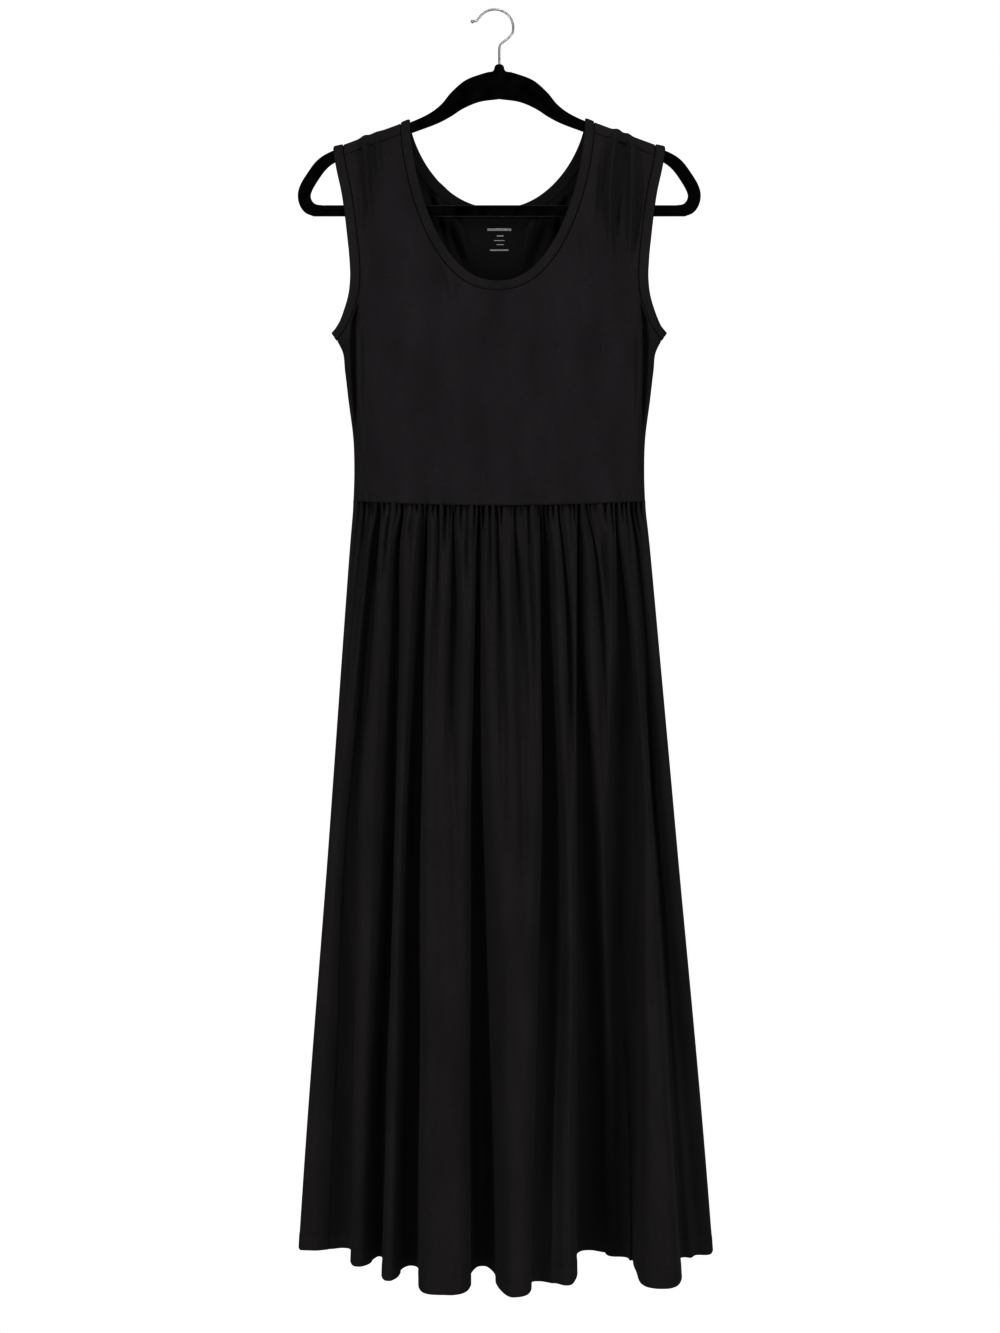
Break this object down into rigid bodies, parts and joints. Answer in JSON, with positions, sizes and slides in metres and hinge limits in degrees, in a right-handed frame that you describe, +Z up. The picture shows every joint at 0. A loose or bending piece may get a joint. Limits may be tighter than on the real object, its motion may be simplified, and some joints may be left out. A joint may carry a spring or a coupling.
{
  "type": "maxi dress on a hanger",
  "caption": "Sleeveless maxi dress with a scoop neck, a gathered waist and a long flared skirt, hanging on a flat hanger with a wire hook.",
  "frame": {"origin": "inside of the crown of the hanger's hook, where it lies on a rail", "axes": "+Z up, +X across the garment to the viewer's right, the front of the dress faces -Y"},
  "size_m": [0.4595, 0.2562, 1.384],
  "materials": {
    "jersey": "matte black viscose jersey with a faint sheen",
    "binding": "matte black jersey binding",
    "velvet": "black velvet flock over moulded plastic",
    "hook_metal": "polished plated wire"
  },
  "bodies": {
    "root": {"bodice_front": "jersey", "bodice_back": "jersey", "skirt_front": "jersey", "skirt_back": "jersey", "neck_binding": "binding", "armhole_binding_left": "binding", "armhole_binding_right": "binding", "hanger_body": "velvet", "hanger_hook": "hook_metal"}
  },
  "joints": []
}
